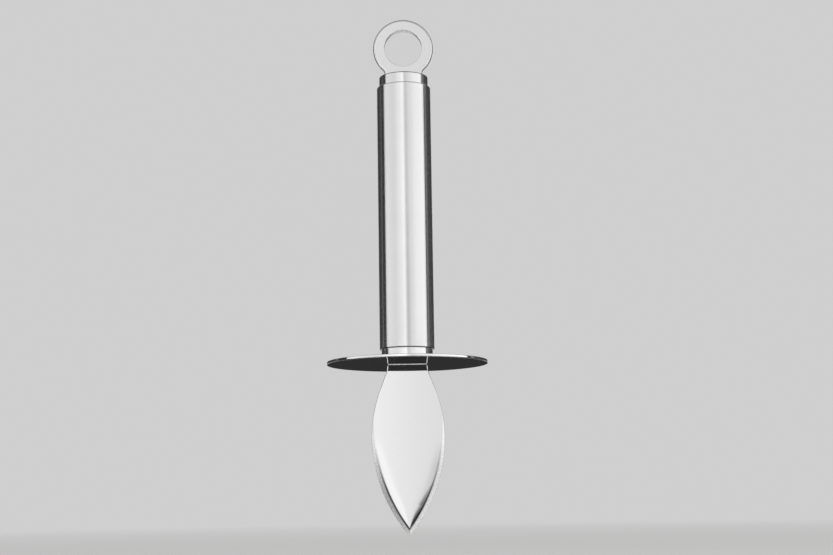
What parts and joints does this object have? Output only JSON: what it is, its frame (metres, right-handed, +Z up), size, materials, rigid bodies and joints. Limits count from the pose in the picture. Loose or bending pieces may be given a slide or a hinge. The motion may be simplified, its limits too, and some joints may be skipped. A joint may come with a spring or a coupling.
{
  "type": "oyster knife",
  "caption": "Stainless oyster knife with a leaf-shaped bevelled blade, a round guard disc, a tubular handle and a ring to hang it by.",
  "frame": {"origin": "centre of the hole in the hanging ring, halfway through the ring's thickness", "axes": "+Z up along the knife from the tip to the ring, +Y through the ring's hole and square to the blade's flat faces, +X along the blade's width"},
  "size_m": [0.054, 0.054, 0.1759],
  "materials": {
    "satin_steel": "fine satin stainless steel, turned rings round the handle",
    "polished_steel": "mirror-polished stainless steel, with a ground satin bevel on the blade",
    "plain_steel": "plain drawn stainless steel rod, hidden inside the handle"
  },
  "bodies": {
    "root": {"hanging_ring": "satin_steel", "ring_pin": "plain_steel", "end_cap": "satin_steel", "handle_tube": "satin_steel", "front_ferrule": "satin_steel", "tang_pin": "plain_steel", "guard_disc": "polished_steel", "blade": "polished_steel"}
  },
  "joints": []
}
